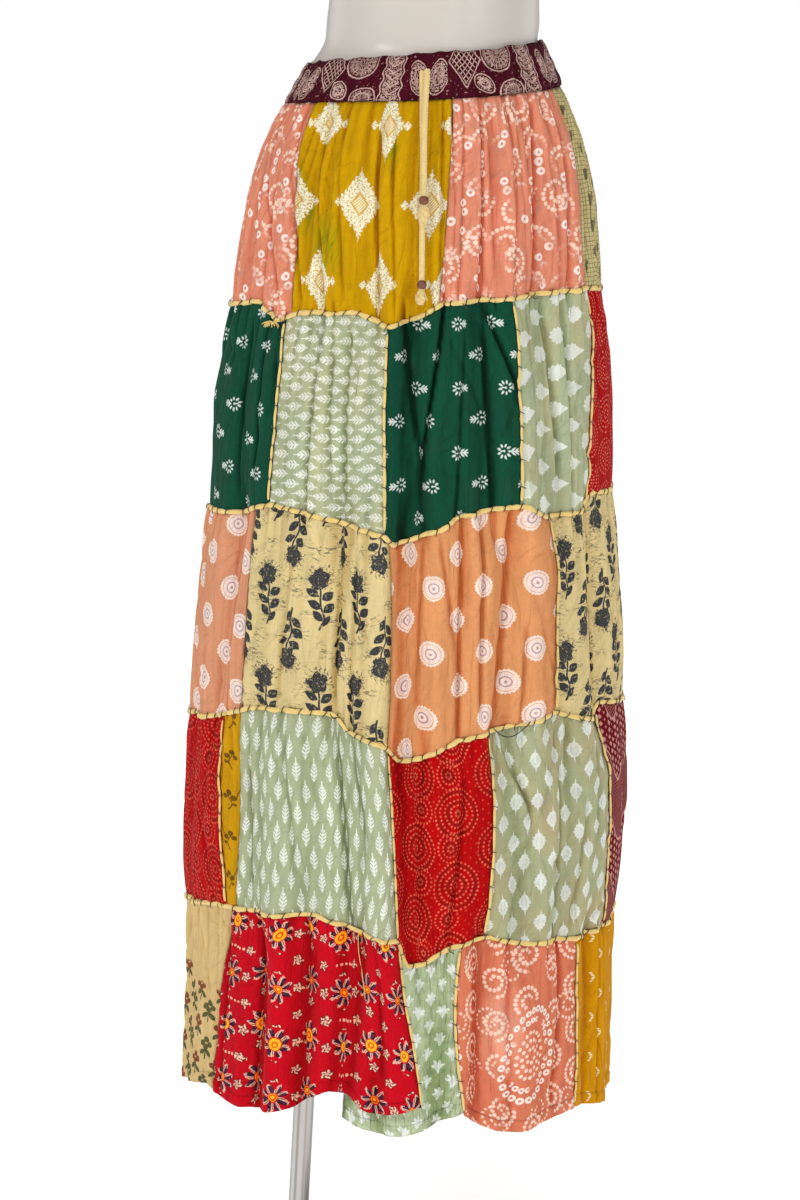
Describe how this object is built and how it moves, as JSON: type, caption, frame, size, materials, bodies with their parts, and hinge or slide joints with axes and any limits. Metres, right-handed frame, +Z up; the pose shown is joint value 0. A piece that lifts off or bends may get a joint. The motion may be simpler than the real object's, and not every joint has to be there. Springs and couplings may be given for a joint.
{
  "type": "patchwork skirt on a display form",
  "caption": "Long gathered patchwork skirt with an elasticated waistband and beaded drawstring, worn by a smooth limbless display form on a pole and round base plate.",
  "frame": {"origin": "centre of the base plate's underside, on the floor under the middle of the waist", "axes": "+Z up, front of the skirt (drawstring) towards -Y, wearer's left towards +X"},
  "size_m": [0.4289, 0.434, 1.334],
  "materials": {
    "band_print": "printed cotton, matte",
    "bandhani_salmon": "tie-dyed cotton, matte",
    "diamond_mustard": "block-printed cotton, matte",
    "grid_bud_cream": "printed cotton, matte",
    "sun_green": "block-printed cotton, matte",
    "fern_sage": "printed cotton, matte",
    "buta_sage": "printed cotton, matte",
    "bandhani_red": "tie-dyed cotton, matte",
    "medallion_peach": "printed cotton, matte",
    "medallion_orange": "printed cotton, matte",
    "rose_cream": "printed cotton, matte",
    "dotted_red": "printed cotton, matte",
    "sprig_mustard": "printed cotton, matte",
    "leaf_sage": "printed cotton, matte",
    "rings_red": "tie-dyed cotton, matte",
    "diamond_olive": "printed cotton, matte",
    "vine_maroon": "printed cotton, matte",
    "sprig_cream": "printed cotton, matte",
    "floral_red": "printed cotton, matte",
    "crinkle_green": "crinkled cotton, matte",
    "paisley_salmon": "tie-dyed cotton, matte",
    "chevron_mustard": "printed cotton, matte",
    "trim_braid": "puffed cotton braid",
    "cord_cotton": "braided cotton",
    "bead_wood": "turned and polished",
    "form_gloss": "glossy off-white",
    "pole_steel": "polished steel tube",
    "plate_steel": "satin steel"
  },
  "bodies": {
    "root": {"base_plate": "plate_steel", "bead_long": "bead_wood", "bead_short": "bead_wood", "cord_long": "cord_cotton", "cord_short": "cord_cotton", "display_form": "form_gloss", "form_socket": "plate_steel", "knot_long": "cord_cotton", "knot_short": "cord_cotton", "pole": "pole_steel", "pole_flange": "plate_steel", "t1_back_cream": "grid_bud_cream", "t1_back_mustard": "diamond_mustard", "t1_back_salmon": "bandhani_salmon", "t1_cream": "grid_bud_cream", "t1_mustard": "diamond_mustard", "t1_salmon": "bandhani_salmon", "t1_salmon_side": "bandhani_salmon", "t2_back_green": "sun_green", "t2_back_red": "bandhani_red", "t2_back_sage": "fern_sage", "t2_green": "sun_green", "t2_green_side": "sun_green", "t2_red": "bandhani_red", "t2_sage": "fern_sage", "t2_sage_buta": "buta_sage", "t3_back_cream": "rose_cream", "t3_back_peach": "medallion_peach", "t3_back_salmon": "bandhani_salmon", "t3_cream": "rose_cream", "t3_cream_side": "rose_cream", "t3_peach": "medallion_orange", "t3_peach_side": "medallion_peach", "t4_back_mustard": "sprig_mustard", "t4_back_red": "dotted_red", "t4_back_sage": "leaf_sage", "t4_maroon": "vine_maroon", "t4_mustard_strip": "sprig_mustard", "t4_red_rings": "rings_red", "t4_red_side": "dotted_red", "t4_sage": "leaf_sage", "t4_sage_buta": "diamond_olive", "t5_back_green": "crinkle_green", "t5_back_red": "floral_red", "t5_back_salmon": "paisley_salmon", "t5_cream": "sprig_cream", "t5_green": "crinkle_green", "t5_mustard": "chevron_mustard", "t5_red_floral": "floral_red", "t5_salmon": "paisley_salmon", "trim_1_2": "trim_braid", "trim_2_3": "trim_braid", "trim_3_4": "trim_braid", "trim_4_5": "trim_braid", "waistband": "band_print"}
  },
  "joints": []
}
